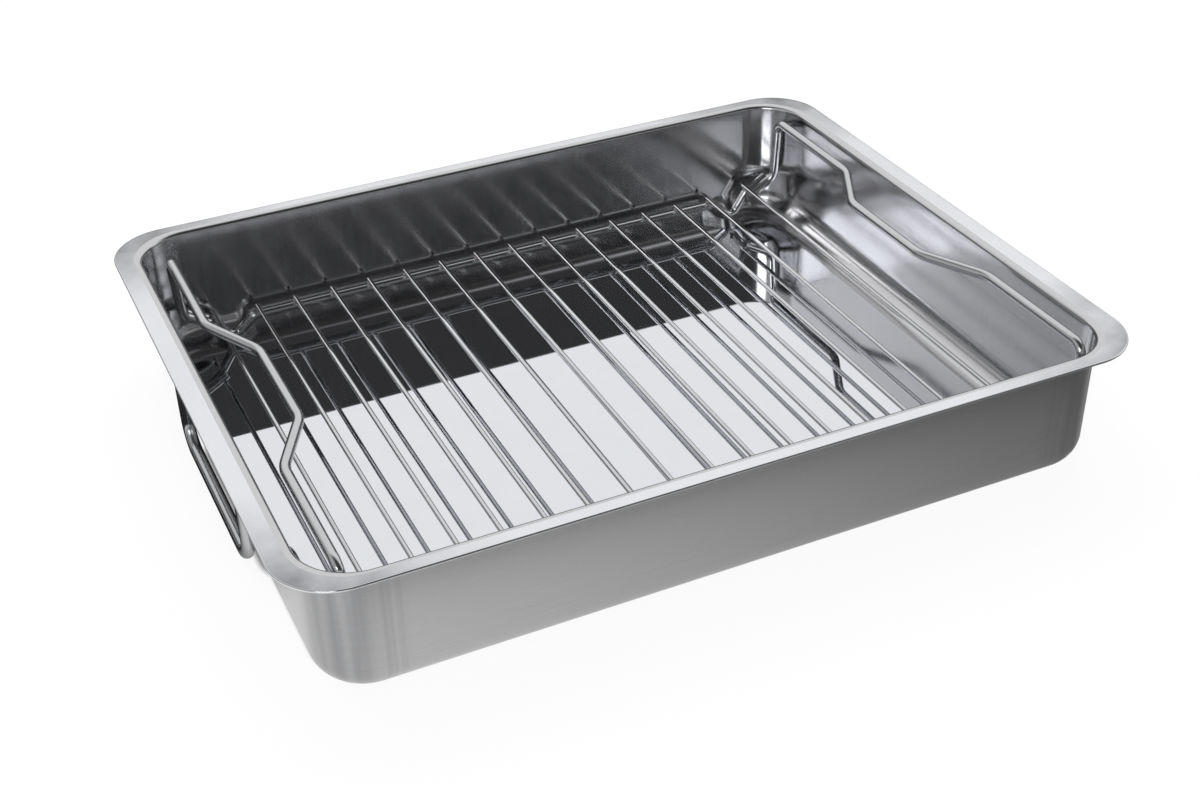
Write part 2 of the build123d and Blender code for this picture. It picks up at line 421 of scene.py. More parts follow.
# The bands in order, each with its steel
pan_bands = [
    ([wall_outline(edge_inset + SUPPORT, 0)], outer_steel),
    (outer_edge + between(outer_edge[-1], outer_bend[0], steps=6) + outer_bend, outer_steel),
    (between(outer_bend[-1], hem_foot, steps=3) + [hem_foot, hem_lip], flange_steel),
    (between(hem_lip, hem_under[0], steps=3) + hem_under + hem_over, hem_steel),
    (between(hem_over[-1], inner_bend[0], steps=6), flange_steel),
    (inner_bend + between(inner_bend[-1], inner_edge[0], steps=8), inner_wall_steel),
    (inner_edge, inner_wall_steel),
    ([wall_outline(edge_inset + SUPPORT, SHEET)], floor_steel),
]
print(sum(len(band) for band, _ in pan_bands), "outlines")

# %% Join the outlines


def outline_points(half_length, half_width, radius, height):
    """Points of a rounded rectangle in metres, counterclockwise, as many on every outline."""
    points = []
    corners = ((1, 1, 0), (-1, 1, 90), (-1, -1, 180), (1, -1, 270))
    for number, (sign_x, sign_y, start) in enumerate(corners):
        centre = Vector((sign_x * (half_length - radius), sign_y * (half_width - radius), height))
        for i in range(CORNER_STEPS + 1):
            angle = math.radians(start + 90 * i / CORNER_STEPS)
            points.append(centre + radius * Vector((math.cos(angle), math.sin(angle), 0)))
        next_x, next_y, next_start = corners[(number + 1) % 4]
        angle = math.radians(next_start)
        direction = Vector((math.cos(angle), math.sin(angle), 0))
        centre = Vector((next_x * (half_length - radius), next_y * (half_width - radius), height))
        steps = LONG_STEPS if number % 2 == 0 else SHORT_STEPS
        start_point, end_point = points[-1], centre + radius * direction
        points += [start_point.lerp(end_point, i / steps) for i in range(1, steps)]
    return [point * MM for point in points]


def lofted(name, bands):
    """Closed mesh through all outlines, with a UV map in metres and a material for each band."""
    rings, ring_materials = [], []
    for number, (band, _) in enumerate(bands):
        rings += [outline_points(*outline) for outline in band]
        ring_materials += [number] * len(band)
    count = len(rings[0])
    round_length = [0.0]
    for i in range(count):
        side = rings[-1][(i + 1) % count] - rings[-1][i]
        round_length.append(round_length[-1] + side.length)
    across_length = [0.0]
    for lower, higher in zip(rings, rings[1:]):
        across_length.append(across_length[-1] + (higher[0] - lower[0]).length)

    built = bmesh.new()
    uv = built.loops.layers.uv.new("surface")
    rows = [[built.verts.new(point) for point in ring] for ring in rings]
    for row in range(len(rows) - 1):
        for i in range(count):
            j = (i + 1) % count
            face = built.faces.new((rows[row][i], rows[row][j], rows[row + 1][j], rows[row + 1][i]))
            face.material_index = ring_materials[row + 1]
            places = ((i, row), (i + 1, row), (i + 1, row + 1), (i, row + 1))
            for corner, (column, line) in zip(face.loops, places):
                corner[uv].uv = round_length[column], across_length[line]
    for row, number in ((rows[0][::-1], ring_materials[0]), (rows[-1], ring_materials[-1])):
        face = built.faces.new(row)
        face.material_index = number
        for corner in face.loops:
            corner[uv].uv = corner.vert.co.y, corner.vert.co.x
    bmesh.ops.recalc_face_normals(built, faces=built.faces)
    for face in built.faces:
        face.smooth = True

    mesh = bpy.data.meshes.new(name)
    built.to_mesh(mesh)
    built.free()
    for _, material in bands:
        mesh.materials.append(material)
    return mesh


pan_mesh = lofted("pan", pan_bands)
pan_mesh.set_sharp_from_angle(angle=PAN_CREASE)
pan = show("pan", pan_mesh)
pan_size = [round(v * 1000, 1) for v in pan.dimensions]
print("pan has", len(pan_mesh.polygons), "faces and measures", pan_size)

# %% [markdown]
# ## Bent wires
#
# The bails, the carriers and the rack's handles are round wires bent on a jig: straight runs with
# an arc at each bend. Geometry Nodes do the same. The base mesh is only the corner points of the
# route, and each corner carries the radius of its bend. The tree fillets the corners, sweeps a
# circle along the route, and closes its ends. At both cut ends the last 0.3 mm gets thinner, as a
# deburred end does. The tree also writes the UV map for the drawing lines.

# %% The tree of a bent wire


def named_inputs(tree, inputs):
    """Adds the tree's input sockets, and its output, and gives their identifiers by name."""
    identifiers = {}
    for name, kind in inputs.items():
        socket = tree.interface.new_socket(name, in_out="INPUT", socket_type=kind)
        identifiers[name] = socket.identifier
    tree.interface.new_socket("Geometry", in_out="OUTPUT", socket_type="NodeSocketGeometry")
    return identifiers


def sweep_nodes(tree, route, given):
    """Nodes that sweep a round wire along the curve that route puts out, with its UV map."""
    length = add_node(tree, "GeometryNodeSplineParameter")
    measured = add_node(
        tree,
        "GeometryNodeStoreNamedAttribute",
        {"Geometry": route, "Name": "along", "Value": length.outputs["Length"]},
        data_type="FLOAT",
        domain="POINT",
    )
    circle = add_node(
        tree,
        "GeometryNodeCurvePrimitiveCircle",
        {"Resolution": given["Sides"], "Radius": given["Wire radius"]},
    )
    turn = add_node(tree, "GeometryNodeSplineParameter")
    marked = add_node(
        tree,
        "GeometryNodeStoreNamedAttribute",
        {"Geometry": circle.outputs["Curve"], "Name": "around", "Value": turn.outputs["Length"]},
        data_type="FLOAT",
        domain="POINT",
    )
    share = add_node(
        tree, "GeometryNodeInputNamedAttribute", {"Name": "thickness"}, data_type="FLOAT"
    )
    return add_node(
        tree,
        "GeometryNodeCurveToMesh",
        {
            "Curve": measured.outputs["Geometry"],
            "Profile Curve": marked.outputs["Geometry"],
            "Scale": share.outputs["Attribute"],
            "Fill Caps": True,
        },
    ).outputs["Mesh"]


def finish_nodes(tree, geometry, material):
    """The end of every tree: real geometry, the UV map, smooth shading and a material."""
    along, around = (
        add_node(tree, "GeometryNodeInputNamedAttribute", {"Name": name}, data_type="FLOAT")
        for name in ("along", "around")
    )
    pair = add_node(
        tree,
        "ShaderNodeCombineXYZ",
        {"X": along.outputs["Attribute"], "Y": around.outputs["Attribute"]},
    )
    real = add_node(tree, "GeometryNodeRealizeInstances", {"Geometry": geometry})
    mapped = add_node(
        tree,
        "GeometryNodeStoreNamedAttribute",
        {"Geometry": real.outputs["Geometry"], "Name": "surface", "Value": pair.outputs["Vector"]},
        data_type="FLOAT2",
        domain="CORNER",
    )
    smooth = add_node(tree, "GeometryNodeSetShadeSmooth", {"Geometry": mapped.outputs["Geometry"]})
    painted = add_node(
        tree,
        "GeometryNodeSetMaterial",
        {"Geometry": smooth.outputs["Geometry"], "Material": material},
    )
    add_node(tree, "NodeGroupOutput", {"Geometry": painted.outputs["Geometry"]})


bent_wire = bpy.data.node_groups.new("bent wire", "GeometryNodeTree")
bent_wire_inputs = named_inputs(
    bent_wire,
    {
        "Geometry": "NodeSocketGeometry",
        "Wire radius": "NodeSocketFloat",
        "Sides": "NodeSocketInt",
        "Steps in a bend": "NodeSocketInt",
        "Material": "NodeSocketMaterial",
    },
)
given = add_node(bent_wire, "NodeGroupInput").outputs
route = add_node(bent_wire, "GeometryNodeMeshToCurve", {"Mesh": given["Geometry"]})
bend = add_node(bent_wire, "GeometryNodeInputNamedAttribute", {"Name": "bend"}, data_type="FLOAT")
rounded = add_node(
    bent_wire,
    "GeometryNodeFilletCurve",
    {
        "Curve": route.outputs["Curve"],
        "Radius": bend.outputs["Attribute"],
        "Count": given["Steps in a bend"],
    },
    mode="POLY",
)
swept = sweep_nodes(bent_wire, rounded.outputs["Curve"], given)
finish_nodes(bent_wire, swept, given["Material"])
print("bent wire tree has", len(bent_wire.nodes), "nodes")

# %% From routes to pieces
END_EASE = 0.3
WIRE_SIDES, BEND_STEPS = 28, 14
WIRE_CREASE = math.radians(38)


def route_mesh(name, points, bends, diameter):
    """Loose edges through a route's points in mm, and one more near each end for the thinning."""
    corners = [Vector(point) for point in points]
    first_run = (corners[1] - corners[0]).normalized()
    last_run = (corners[-1] - corners[-2]).normalized()
    corners.insert(1, corners[0] + first_run * END_EASE)
    corners.insert(-1, corners[-1] - last_run * END_EASE)
    bends = [0, 0, *bends, 0, 0]
    cut_share = 1 - 2 * END_EASE / diameter
    thickness = [cut_share] + [1.0] * (len(corners) - 2) + [cut_share]
    edges = [(i, i + 1) for i in range(len(corners) - 1)]
    mesh = bpy.data.meshes.new(name)
    mesh.from_pydata([corner * MM for corner in corners], edges, [])
    for attribute, values in (("bend", [b * MM for b in bends]), ("thickness", thickness)):
        mesh.attributes.new(attribute, "FLOAT", "POINT").data.foreach_set("value", values)
    return mesh


def made_by(tree, identifiers, base, values):
    """Runs a tree on a base object with named values, and leaves the result as its plain mesh."""
    modifier = base.modifiers.new("made", "NODES")
    modifier.node_group = tree
    for name, value in values.items():
        modifier[identifiers[name]] = value
    evaluated = base.evaluated_get(bpy.context.evaluated_depsgraph_get())
    made = bpy.data.meshes.new_from_object(evaluated)
    base.modifiers.clear()
    base.data = made
    made.name = base.name
    made.set_sharp_from_angle(angle=WIRE_CREASE)
    print(base.name, "has", len(made.polygons), "faces")
    return base


def wire_piece(name, points, bends, diameter, material):
    """One bent wire as a piece of the scene."""
    values = {
        "Wire radius": diameter * MM / 2,
        "Sides": WIRE_SIDES,
        "Steps in a bend": BEND_STEPS,
        "Material": material,
    }
    base = show(name, route_mesh(name, points, bends, diameter))
    return made_by(bent_wire, bent_wire_inputs, base, values)


def mirrored(half, axis):
    """A route's first half and its mirror image, for a wire that is the same on both sides."""
    flip = [-1 if i == axis else 1 for i in range(3)]
    return half + [tuple(c * f for c, f in zip(point, flip)) for point in reversed(half)]


# %% [markdown]
# ## The bails
#
# Each end wall has a bail: a loop of 6 mm rod whose two feet turn in clips under the flange. It
# hangs flat against the wall, and swings up for a hand. The pivot's height is as high as the clip
# allows, and its distance from the wall leaves the foot a little clearance.

# %% Bails
BAIL_WIRE, BAIL_GAP = 6.0, 0.08
BAIL_HALF_SPAN, BAIL_FOOT_END, BAIL_GRIP_HEIGHT = 52.8, 72.4, 7.6
BAIL_BENDS = [7.0, 12.0, 12.0, 7.0]
PIVOT_HEIGHT = 54.02

foot_reach = (BAIL_WIRE / 2 + BAIL_GAP) / math.cos(DRAFT)
pivot_x = mouth_half[0] - (PAN_HEIGHT - PIVOT_HEIGHT) * math.tan(DRAFT) + foot_reach
bails = {}
for side, end in ((-1, "left"), (1, "right")):
    half = [
        (side * pivot_x, BAIL_FOOT_END, PIVOT_HEIGHT),
        (side * pivot_x, BAIL_HALF_SPAN, PIVOT_HEIGHT),
        (side * pivot_x, BAIL_HALF_SPAN, BAIL_GRIP_HEIGHT),
    ]
    bails[end] = wire_piece(f"bail_{end}", mirrored(half, 1), BAIL_BENDS, BAIL_WIRE, bail_steel)

# %% [markdown]
# ## The rack's frame
#
# Two carriers run along the pan. Near each end a carrier dips into a V, which is its foot, and then
# climbs an end slope. Two handles run across: each is welded along the end slopes, rises up the
# wall, and steps inward at the middle of its top bar, where fingers take hold. The rack lies 3 mm
# right of the pan's middle, as loose things do.

# %% Carriers
FRAME_WIRE = 5.0
RACK_SHIFT = 3.0
CARRIER_Y, CARRIER_HEIGHT, CARRIER_BEND = 142.448, 14.05, 5.0
# Along the pan and up: where a foot begins, its lowest corner, and where the end slope begins
FOOT_START, FOOT_CORNER, SLOPE_START = (136.169, CARRIER_HEIGHT), (149.283, 3.43), (158.2, 16.65)
END_SLOPE, CARRIER_END_RUN = math.radians(30), 13.6


def shifted(points):
    """A route of the rack, moved to where the rack lies."""
    return [(x + RACK_SHIFT, y, z) for x, y, z in points]


def on_slope(run):
    """The place along the pan and the height on an end slope, a level run past its start."""
    return SLOPE_START[0] + run, SLOPE_START[1] + run * math.tan(END_SLOPE)


carriers = {}
for y, end in ((-CARRIER_Y, "front"), (CARRIER_Y, "back")):
    places = (on_slope(CARRIER_END_RUN), SLOPE_START, FOOT_CORNER, FOOT_START)
    points = shifted(mirrored([(-x, y, z) for x, z in places], 0))
    bends = [CARRIER_BEND] * (len(points) - 2)
    carriers[end] = wire_piece(f"carrier_{end}", points, bends, FRAME_WIRE, frame_wire_steel)

# %% Rack handles
HANDLE_Y, HANDLE_HEIGHT = 137.398, 59.55
HANDLE_LEG, HANDLE_BAR, HANDLE_STEP = 174.0, 176.0, 16.8
HANDLE_TAIL, HANDLE_SLOPE_RUN = 1.8, 15.8
STEP_OUTER, STEP_INNER = 64.5, 31.4
HANDLE_BENDS = [9.0, 6.5, 20.0, 20.0]

tail_x, tail_height = on_slope(-HANDLE_TAIL)
knee_height = on_slope(HANDLE_SLOPE_RUN)[1]
rack_handles = {}
for side, end in ((-1, "left"), (1, "right")):
    half = [
        (side * tail_x, HANDLE_Y, tail_height),
        (side * HANDLE_LEG, HANDLE_Y, knee_height),
        (side * HANDLE_BAR, HANDLE_Y, HANDLE_HEIGHT),
        (side * HANDLE_BAR, STEP_OUTER, HANDLE_HEIGHT),
        (side * (HANDLE_BAR - HANDLE_STEP), STEP_INNER, HANDLE_HEIGHT),
    ]
    points, bends = shifted(mirrored(half, 1)), HANDLE_BENDS + HANDLE_BENDS[::-1]
    rack_handles[end] = wire_piece(
        f"handle_wire_{end}", points, bends, FRAME_WIRE, frame_wire_steel
    )

# %% [markdown]
# ## The cross wires
#
# Sixteen thin wires lie across the carriers, fourteen of them evenly spaced and one on each end
# slope. That is a row of copies, so a tree places one wire again and again: a line of points for
# the even row and two points for the ends. Hands lay the wires into the welding jig, so each lies
# a few tenths of a millimetre off, which a seeded random shift along the wire gives.

# %% The tree of the cross wires
cross_wires_tree = bpy.data.node_groups.new("cross wires", "GeometryNodeTree")
cross_inputs = named_inputs(
    cross_wires_tree,
    {
        "Geometry": "NodeSocketGeometry",
        "Wire radius": "NodeSocketFloat",
        "Sides": "NodeSocketInt",
        "Even wires": "NodeSocketInt",
        "First place": "NodeSocketVector",
        "Pitch": "NodeSocketVector",
        "Left end": "NodeSocketVector",
        "Right end": "NodeSocketVector",
        "Slip": "NodeSocketFloat",
        "Seed": "NodeSocketInt",
        "Material": "NodeSocketMaterial",
    },
)
given = add_node(cross_wires_tree, "NodeGroupInput").outputs
rod_route = add_node(cross_wires_tree, "GeometryNodeMeshToCurve", {"Mesh": given["Geometry"]})
rod = sweep_nodes(cross_wires_tree, rod_route.outputs["Curve"], given)
even_row = add_node(
    cross_wires_tree,
    "GeometryNodeMeshLine",
    {
        "Count": given["Even wires"],
        "Start Location": given["First place"],
        "Offset": given["Pitch"],
    },
)
ends = [
    add_node(cross_wires_tree, "GeometryNodePoints", {"Count": 1, "Position": given[name]})
    for name in ("Left end", "Right end")
]
row_points = add_node(
    cross_wires_tree, "GeometryNodeMeshToPoints", {"Mesh": even_row.outputs["Mesh"]}
)
places = add_node(cross_wires_tree, "GeometryNodeJoinGeometry")
for source in (row_points, *ends):
    cross_wires_tree.links.new(source.outputs["Points"], places.inputs["Geometry"])
least_slip = add_node(
    cross_wires_tree, "ShaderNodeMath", {0: given["Slip"], 1: -1.0}, operation="MULTIPLY"
)
slip = add_node(
    cross_wires_tree,
    "FunctionNodeRandomValue",
    {RANDOM_LEAST: least_slip.outputs[0], RANDOM_MOST: given["Slip"], "Seed": given["Seed"]},
    data_type="FLOAT",
)
slip_along = add_node(cross_wires_tree, "ShaderNodeCombineXYZ", {"Y": slip.outputs[RANDOM_DRAWN]})
settled = add_node(
    cross_wires_tree,
    "GeometryNodeSetPosition",
    {"Geometry": places.outputs["Geometry"], "Offset": slip_along.outputs["Vector"]},
)
row = add_node(
    cross_wires_tree,
    "GeometryNodeInstanceOnPoints",
    {"Points": settled.outputs["Geometry"], "Instance": rod},
)
finish_nodes(cross_wires_tree, row.outputs["Instances"], given["Material"])
print("cross wire tree has", len(cross_wires_tree.nodes), "nodes")

# %% Cross wires
CROSS_WIRE, CROSS_SIDES, CROSS_HALF_LENGTH = 2.5, 20, 144.248
CROSS_COUNT, CROSS_SPAN, CROSS_HEIGHT = 14, 133.969, 17.85
CROSS_SLIP, CROSS_SEED = 0.25, 4
# Along the pan and up: the wire on an end slope
END_WIRE = 157.686, 20.741

cross_pitch = 2 * CROSS_SPAN / (CROSS_COUNT - 1)
rod_ends = [(0, -CROSS_HALF_LENGTH, 0), (0, CROSS_HALF_LENGTH, 0)]
cross_wires = made_by(
    cross_wires_tree,
    cross_inputs,
    show("cross_wires", route_mesh("cross_wires", rod_ends, [], CROSS_WIRE)),
    {
        "Wire radius": CROSS_WIRE * MM / 2,
        "Sides": CROSS_SIDES,
        "Even wires": CROSS_COUNT,
        "First place": ((RACK_SHIFT - CROSS_SPAN) * MM, 0.0, CROSS_HEIGHT * MM),
        "Pitch": (cross_pitch * MM, 0.0, 0.0),
        "Left end": ((RACK_SHIFT - END_WIRE[0]) * MM, 0.0, END_WIRE[1] * MM),
        "Right end": ((RACK_SHIFT + END_WIRE[0]) * MM, 0.0, END_WIRE[1] * MM),
        "Slip": CROSS_SLIP * MM,
        "Seed": CROSS_SEED,
        "Material": cross_wire_steel,
    },
)

# %% [markdown]
# ## The welds
#
# Where a cross wire crosses a carrier, a pulse of current fuses the two. The wire sinks in a little
# and a small collar of metal is left round the touch. A flattened ball at each crossing gives that
# collar, and two more join each handle to each end slope. The base mesh is one point for each weld,
# and the tree puts a flattened ball of slightly different size on each.

# %% The tree of the welds
SMALLEST_WELD, LARGEST_WELD = 0.85, 1.1
BALL_ROUNDNESS = 3

weld_tree = bpy.data.node_groups.new("welds", "GeometryNodeTree")
weld_inputs = named_inputs(
    weld_tree,
    {
        "Geometry": "NodeSocketGeometry",
        "Weld radius": "NodeSocketFloat",
        "Flatness": "NodeSocketFloat",
        "Seed": "NodeSocketInt",
        "Material": "NodeSocketMaterial",
    },
)
given = add_node(weld_tree, "NodeGroupInput").outputs
ball = add_node(
    weld_tree,
    "GeometryNodeMeshIcoSphere",
    {"Radius": given["Weld radius"], "Subdivisions": BALL_ROUNDNESS},
)
spots = add_node(weld_tree, "GeometryNodeMeshToPoints", {"Mesh": given["Geometry"]})
size = add_node(
    weld_tree,
    "FunctionNodeRandomValue",
    {RANDOM_LEAST: SMALLEST_WELD, RANDOM_MOST: LARGEST_WELD, "Seed": given["Seed"]},
    data_type="FLOAT",
).outputs[RANDOM_DRAWN]
height = add_node(
    weld_tree, "ShaderNodeMath", {0: size, 1: given["Flatness"]}, operation="MULTIPLY"
)
squash = add_node(weld_tree, "ShaderNodeCombineXYZ", {"X": size, "Y": size, "Z": height.outputs[0]})
dotted = add_node(
    weld_tree,
    "GeometryNodeInstanceOnPoints",
    {
        "Points": spots.outputs["Points"],
        "Instance": ball.outputs["Mesh"],
        "Scale": squash.outputs["Vector"],
    },
)
finish_nodes(weld_tree, dotted.outputs["Instances"], given["Material"])
print("weld tree has", len(weld_tree.nodes), "nodes")

# %% Welds
WELD_RADIUS, WELD_FLATNESS, WELD_SEED = 1.7, 0.45, 7
# Where the handle is welded to the slope, as shares of its run there
HANDLE_WELDS = 0.12, 0.68

touch_drop = CROSS_WIRE / 2
crossings = []
for y in (-CARRIER_Y, CARRIER_Y):
    for i in range(CROSS_COUNT):
        crossings.append((i * cross_pitch - CROSS_SPAN, y, CROSS_HEIGHT - touch_drop))
    for side in (-1, 1):
        x = side * (END_WIRE[0] + touch_drop * math.sin(END_SLOPE))
        crossings.append((x, y, END_WIRE[1] - touch_drop * math.cos(END_SLOPE)))
        for share in HANDLE_WELDS:
            x, z = on_slope(HANDLE_SLOPE_RUN * share)
            crossings.append((side * x, math.copysign((CARRIER_Y + HANDLE_Y) / 2, y), z))
weld_mesh = bpy.data.meshes.new("welds")
weld_mesh.from_pydata([Vector(point) * MM for point in shifted(crossings)], [], [])
welds = made_by(
    weld_tree,
    weld_inputs,
    show("welds", weld_mesh),
    {
        "Weld radius": WELD_RADIUS * MM,
        "Flatness": WELD_FLATNESS,
        "Seed": WELD_SEED,
        "Material": weld_steel,
    },
)

# %% [markdown]
# ## The clips
#
# Four saddle clips, pressed from strip and spot-welded to the end walls, hold the bails' feet.
# Their CAD solids have the right shape, so each is copied. The copy's loose triangles are merged,
# which lets it shade smoothly, and it gets a UV map laid flat on it.

# %% Clips
SAME_POINT = 0.002
CLIP_CREASE = math.radians(35)

clips = {}
for end in ("left", "right"):
    for place in ("front", "back"):
        node = f"bail_clip_{end}_{place}"
        built = bmesh.new()
        built.from_mesh(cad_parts[node].data)
        bmesh.ops.remove_doubles(built, verts=built.verts, dist=SAME_POINT * MM)
        for layer in list(built.loops.layers.uv.values()):
            built.loops.layers.uv.remove(layer)
        uv = built.loops.layers.uv.new("surface")
        for face in built.faces:
            face.smooth = True
            face.material_index = 0
            for corner in face.loops:
                corner[uv].uv = corner.vert.co.y, corner.vert.co.z
        mesh = bpy.data.meshes.new(f"clip_{end}_{place}")
        built.to_mesh(mesh)
        built.free()
        mesh.materials.append(clip_steel)
        mesh.set_sharp_from_angle(angle=CLIP_CREASE)
        clips[node] = show(f"clip_{end}_{place}", mesh)
print(len(clips), "clips")

# %% [markdown]
# ## Floor, studio and light
#
# Bright metal has no look of its own: it shows the room. The room here is a white one. The world
# is white at a strength of 1 for the camera and for reflections, and dimmer as a light, so that a
# colour renders about as it is written together with the soft lamp overhead.
#
# The table's white has a lift added to it, for the camera and for reflections, so that it meets
# the background without a seam. The lamps' own shadows stay in it. Hardly any light gets in under
# the pan's round edge, nor between the end walls and the bails, so the lift fades there, which
# paints a contact shadow on the table. Two boxes under the pan say where: one for the pan and a
# longer, narrower one for the bails.

# %% Floor
WHITE = linear("#ffffff")
TABLE_DARK, TABLE_LIGHT, TABLE_GRAIN = "#666666", "#6a6a6a", 3
TABLE_LIFT = 0.9
# Painted contact shadow, in mm: the boxes' half sizes, and where past them the lift starts and is
# full
PAN_PAINTED_SHADOW, BAIL_PAINTED_SHADOW = (157.0, 112.0), (160.0, 45.0)
LIFT_START, LIFT_FULL = 23.5, 28.5
TABLE_HALF = 4.0


def seen_or_mirrored(tree):
    """One for the camera, in reflections and through glass, and nought for light on a surface."""
    rays = add_node(tree, "ShaderNodeLightPath").outputs
    seen = rays["Is Camera Ray"]
    for other in ("Is Glossy Ray", "Is Transmission Ray"):
        seen = add_node(
            tree, "ShaderNodeMath", {0: seen, 1: rays[other]}, operation="ADD", use_clamp=True
        ).outputs[0]
    return seen


def distance_past(tree, spot, half_length, half_width):
    """How far a spot is outside a box round the middle. The spot's places are without signs."""
    half_size = (half_length * MM, half_width * MM, 0.0)
    past = add_node(tree, "ShaderNodeVectorMath", {0: spot, 1: half_size}, operation="SUBTRACT")
    outside = add_node(
        tree,
        "ShaderNodeVectorMath",
        {0: past.outputs["Vector"], 1: (0.0, 0.0, 0.0)},
        operation="MAXIMUM",
    )
    return add_node(
        tree, "ShaderNodeVectorMath", {0: outside.outputs["Vector"]}, operation="LENGTH"
    ).outputs["Value"]


table_white = bpy.data.materials.new("white_laminate_table")
tree = empty_tree(table_white)
place = add_node(tree, "ShaderNodeTexCoord").outputs["Object"]
spot = add_node(tree, "ShaderNodeVectorMath", {0: place}, operation="ABSOLUTE").outputs["Vector"]
from_pan, from_bails = (distance_past(tree, spot, *box) for box in (PAN_PAINTED_SHADOW, BAIL_PAINTED_SHADOW))
away = add_node(
    tree, "ShaderNodeMath", {0: from_pan, 1: from_bails}, operation="MINIMUM"
).outputs[0]
# Painted contact shadow: no lift close to the boxes, full lift further out
outside_painted_shadow = add_node(
    tree,
    "ShaderNodeMapRange",
    {"Value": away, "From Min": LIFT_START * MM, "From Max": LIFT_FULL * MM},
    interpolation_type="SMOOTHSTEP",
).outputs["Result"]
lift = seen_or_mirrored(tree)
for factor in (TABLE_LIFT, outside_painted_shadow):
    lift = add_node(tree, "ShaderNodeMath", {0: lift, 1: factor}, operation="MULTIPLY").outputs[0]
grain = add_node(
    tree, "ShaderNodeTexNoise", {"Vector": place, "Scale": 1 / (TABLE_GRAIN * MM), "Detail": 2.0}
).outputs["Fac"]
paint = add_node(
    tree,
    "ShaderNodeMix",
    {"Factor": grain, MIX_FROM: linear(TABLE_DARK), MIX_TO: linear(TABLE_LIGHT)},
    data_type="RGBA",
).outputs[MIXED]
matt = add_node(tree, "ShaderNodeBsdfDiffuse", {"Color": paint}).outputs["BSDF"]
glow = add_node(tree, "ShaderNodeEmission", {"Color": WHITE, "Strength": lift}).outputs["Emission"]
both = add_node(tree, "ShaderNodeAddShader", {0: matt, 1: glow}).outputs["Shader"]
add_node(tree, "ShaderNodeOutputMaterial", {"Surface": both})

square = ((-1, -1, 0), (1, -1, 0), (1, 1, 0), (-1, 1, 0))
table_mesh = bpy.data.meshes.new("table")
table_mesh.from_pydata([Vector(corner) * TABLE_HALF for corner in square], [], [(0, 1, 2, 3)])
table_mesh.materials.append(table_white)
table = show("table", table_mesh)
print("table is", 2 * TABLE_HALF, "m wide")

# %% World
WORLD_AS_LIGHT, WORLD_SEEN = 0.55, 1.0

world = bpy.data.worlds.new("white room")
bpy.context.scene.world = world
tree = empty_tree(world)
level = add_node(
    tree,
    "ShaderNodeMapRange",
    {"Value": seen_or_mirrored(tree), "To Min": WORLD_AS_LIGHT, "To Max": WORLD_SEEN},
).outputs["Result"]
backdrop = add_node(tree, "ShaderNodeBackground", {"Color": WHITE, "Strength": level})
add_node(tree, "ShaderNodeOutputWorld", {"Surface": backdrop.outputs["Background"]})
print("world has a strength of", WORLD_SEEN, "where it's seen and", WORLD_AS_LIGHT, "as a light")

# %% Lamps


def softbox(name, place, size, power):
    """A rectangular lamp that faces the pan from a place in metres."""
    lamp = bpy.data.objects.new(name, bpy.data.lights.new(name, "AREA"))
    bpy.context.scene.collection.objects.link(lamp)
    lamp.data.shape = "RECTANGLE"
    lamp.data.size, lamp.data.size_y = size
    lamp.data.energy = power
    lamp.location = place
    lamp.rotation_euler = Vector(place).to_track_quat("Z", "Y").to_euler()
    lamp.visible_camera = False
    return lamp


# Overhead lamp: gives the soft shadow, and stays out of reflections, where the white room
# already stands
overhead = softbox("overhead_softbox", place=(0.1, 1.0, 1.6), size=(2.4, 1.4), power=12.0)
overhead.visible_glossy = False
# Key lamp: stands left of the camera and shows as the soft light patch on the right inner wall
key = softbox("key_softbox", place=(-1.1, -1.4, 1.04), size=(0.8, 0.8), power=6.0)
print("overhead lamp", overhead.data.energy, "W and key lamp", key.data.energy, "W")

# %% [markdown]
# ## What the steel reflects
#
# What draws a polished form is where the room isn't white. A dark hood stands round the camera's
# side, with the key softbox before it. A low skirt stands behind the pan, and cards lie on the
# table round it. No lamp lights them: each glows with painted light and shade that goes softly
# from light to dark, as paper does under a lamp. Only reflections see them. Without them the walls
# would be as white as the table, and the wires would be lost on the floor.
#
# A card's brightness is a grade: a direction, the distances along it at which the grade starts and
# stops, and the levels that it starts and stops with.

# %% Graded cards


def grade_along(tree, place, direction, start, stop, first_level, last_level):
    """A brightness that goes softly from one level to another along a direction."""
    distance = add_node(
        tree, "ShaderNodeVectorMath", {0: place, 1: direction}, operation="DOT_PRODUCT"
    )
    return add_node(
        tree,
        "ShaderNodeMapRange",
        {
            "Value": distance.outputs["Value"],
            "From Min": start,
            "From Max": stop,
            "To Min": first_level,
            "To Max": last_level,
        },
        interpolation_type="SMOOTHSTEP",
    ).outputs["Result"]


